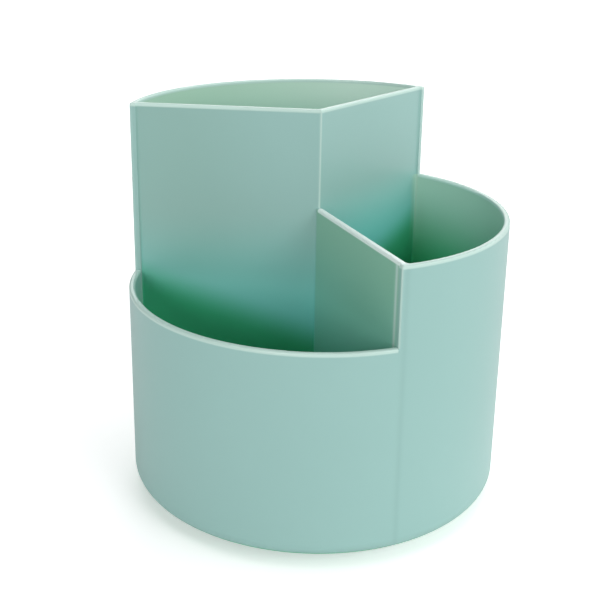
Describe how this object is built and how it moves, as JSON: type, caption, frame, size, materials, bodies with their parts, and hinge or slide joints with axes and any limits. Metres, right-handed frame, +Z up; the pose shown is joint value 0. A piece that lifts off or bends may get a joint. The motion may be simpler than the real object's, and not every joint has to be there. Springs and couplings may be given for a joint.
{
  "type": "rotating desk organizer",
  "caption": "Round pen and pencil holder with open wells stepped in height, turning freely on a ball-bearing base plate with anti-slip pads.",
  "frame": {"origin": "on the desk under the turning axis, level with the underside of the pads", "axes": "+Z up along the turning axis; the low well faces -Y and -X, the middle well +X, the tall well +Y"},
  "size_m": [0.14, 0.14, 0.1441],
  "materials": {
    "mint_plastic": "fine satin moulded texture",
    "base_plastic": "satin moulded plastic",
    "cage_plastic": "natural nylon",
    "bush_plastic": "smooth acetal",
    "ball_steel": "polished bearing steel",
    "zinc_steel": "bright zinc plate",
    "pad_rubber": "matt rubber"
  },
  "bodies": {
    "base": {"base_plate": "base_plastic", "pivot_bush": "bush_plastic", "anti_slip_pad_1": "pad_rubber", "anti_slip_pad_2": "pad_rubber", "anti_slip_pad_3": "pad_rubber", "anti_slip_pad_4": "pad_rubber"},
    "organizer": {"organizer_body": "mint_plastic", "pivot_screw": "zinc_steel", "pivot_washer": "zinc_steel"},
    "cage": {"ball_cage": "cage_plastic"},
    "ball_01": {"bearing_ball_01": "ball_steel"},
    "ball_02": {"bearing_ball_02": "ball_steel"},
    "ball_03": {"bearing_ball_03": "ball_steel"},
    "ball_04": {"bearing_ball_04": "ball_steel"},
    "ball_05": {"bearing_ball_05": "ball_steel"},
    "ball_06": {"bearing_ball_06": "ball_steel"},
    "ball_07": {"bearing_ball_07": "ball_steel"},
    "ball_08": {"bearing_ball_08": "ball_steel"},
    "ball_09": {"bearing_ball_09": "ball_steel"},
    "ball_10": {"bearing_ball_10": "ball_steel"},
    "ball_11": {"bearing_ball_11": "ball_steel"},
    "ball_12": {"bearing_ball_12": "ball_steel"}
  },
  "joints": [
    {"name": "organizer_turn", "type": "hinge", "parent": "base", "child": "organizer", "pos_m": [0, 0, 0.00605], "axis": [0, 0, 1], "continuous": true},
    {"name": "cage_turn", "type": "hinge", "parent": "base", "child": "cage", "pos_m": [0, 0, 0.00605], "axis": [0, 0, 1], "continuous": true},
    {"name": "ball_roll_01", "type": "hinge", "parent": "cage", "child": "ball_01", "pos_m": [0.042, 0, 0.00605], "axis": [1, 0, 0], "continuous": true},
    {"name": "ball_roll_02", "type": "hinge", "parent": "cage", "child": "ball_02", "pos_m": [0.03637, 0.021, 0.00605], "axis": [0.866, 0.5, 0], "continuous": true},
    {"name": "ball_roll_03", "type": "hinge", "parent": "cage", "child": "ball_03", "pos_m": [0.021, 0.03637, 0.00605], "axis": [0.5, 0.866, 0], "continuous": true},
    {"name": "ball_roll_04", "type": "hinge", "parent": "cage", "child": "ball_04", "pos_m": [0, 0.042, 0.00605], "axis": [0, 1, 0], "continuous": true},
    {"name": "ball_roll_05", "type": "hinge", "parent": "cage", "child": "ball_05", "pos_m": [-0.021, 0.03637, 0.00605], "axis": [-0.5, 0.866, 0], "continuous": true},
    {"name": "ball_roll_06", "type": "hinge", "parent": "cage", "child": "ball_06", "pos_m": [-0.03637, 0.021, 0.00605], "axis": [-0.866, 0.5, 0], "continuous": true},
    {"name": "ball_roll_07", "type": "hinge", "parent": "cage", "child": "ball_07", "pos_m": [-0.042, 0, 0.00605], "axis": [-1, 0, 0], "continuous": true},
    {"name": "ball_roll_08", "type": "hinge", "parent": "cage", "child": "ball_08", "pos_m": [-0.03637, -0.021, 0.00605], "axis": [-0.866, -0.5, 0], "continuous": true},
    {"name": "ball_roll_09", "type": "hinge", "parent": "cage", "child": "ball_09", "pos_m": [-0.021, -0.03637, 0.00605], "axis": [-0.5, -0.866, 0], "continuous": true},
    {"name": "ball_roll_10", "type": "hinge", "parent": "cage", "child": "ball_10", "pos_m": [0, -0.042, 0.00605], "axis": [0, -1, 0], "continuous": true},
    {"name": "ball_roll_11", "type": "hinge", "parent": "cage", "child": "ball_11", "pos_m": [0.021, -0.03637, 0.00605], "axis": [0.5, -0.866, 0], "continuous": true},
    {"name": "ball_roll_12", "type": "hinge", "parent": "cage", "child": "ball_12", "pos_m": [0.03637, -0.021, 0.00605], "axis": [0.866, -0.5, 0], "continuous": true}
  ],
  "couplings": [
    {"joint": "cage_turn", "follows": "organizer_turn", "ratio": 0.5},
    {"joint": "ball_roll_01", "follows": "organizer_turn", "ratio": -8.4},
    {"joint": "ball_roll_02", "follows": "organizer_turn", "ratio": -8.4},
    {"joint": "ball_roll_03", "follows": "organizer_turn", "ratio": -8.4},
    {"joint": "ball_roll_04", "follows": "organizer_turn", "ratio": -8.4},
    {"joint": "ball_roll_05", "follows": "organizer_turn", "ratio": -8.4},
    {"joint": "ball_roll_06", "follows": "organizer_turn", "ratio": -8.4},
    {"joint": "ball_roll_07", "follows": "organizer_turn", "ratio": -8.4},
    {"joint": "ball_roll_08", "follows": "organizer_turn", "ratio": -8.4},
    {"joint": "ball_roll_09", "follows": "organizer_turn", "ratio": -8.4},
    {"joint": "ball_roll_10", "follows": "organizer_turn", "ratio": -8.4},
    {"joint": "ball_roll_11", "follows": "organizer_turn", "ratio": -8.4},
    {"joint": "ball_roll_12", "follows": "organizer_turn", "ratio": -8.4}
  ]
}
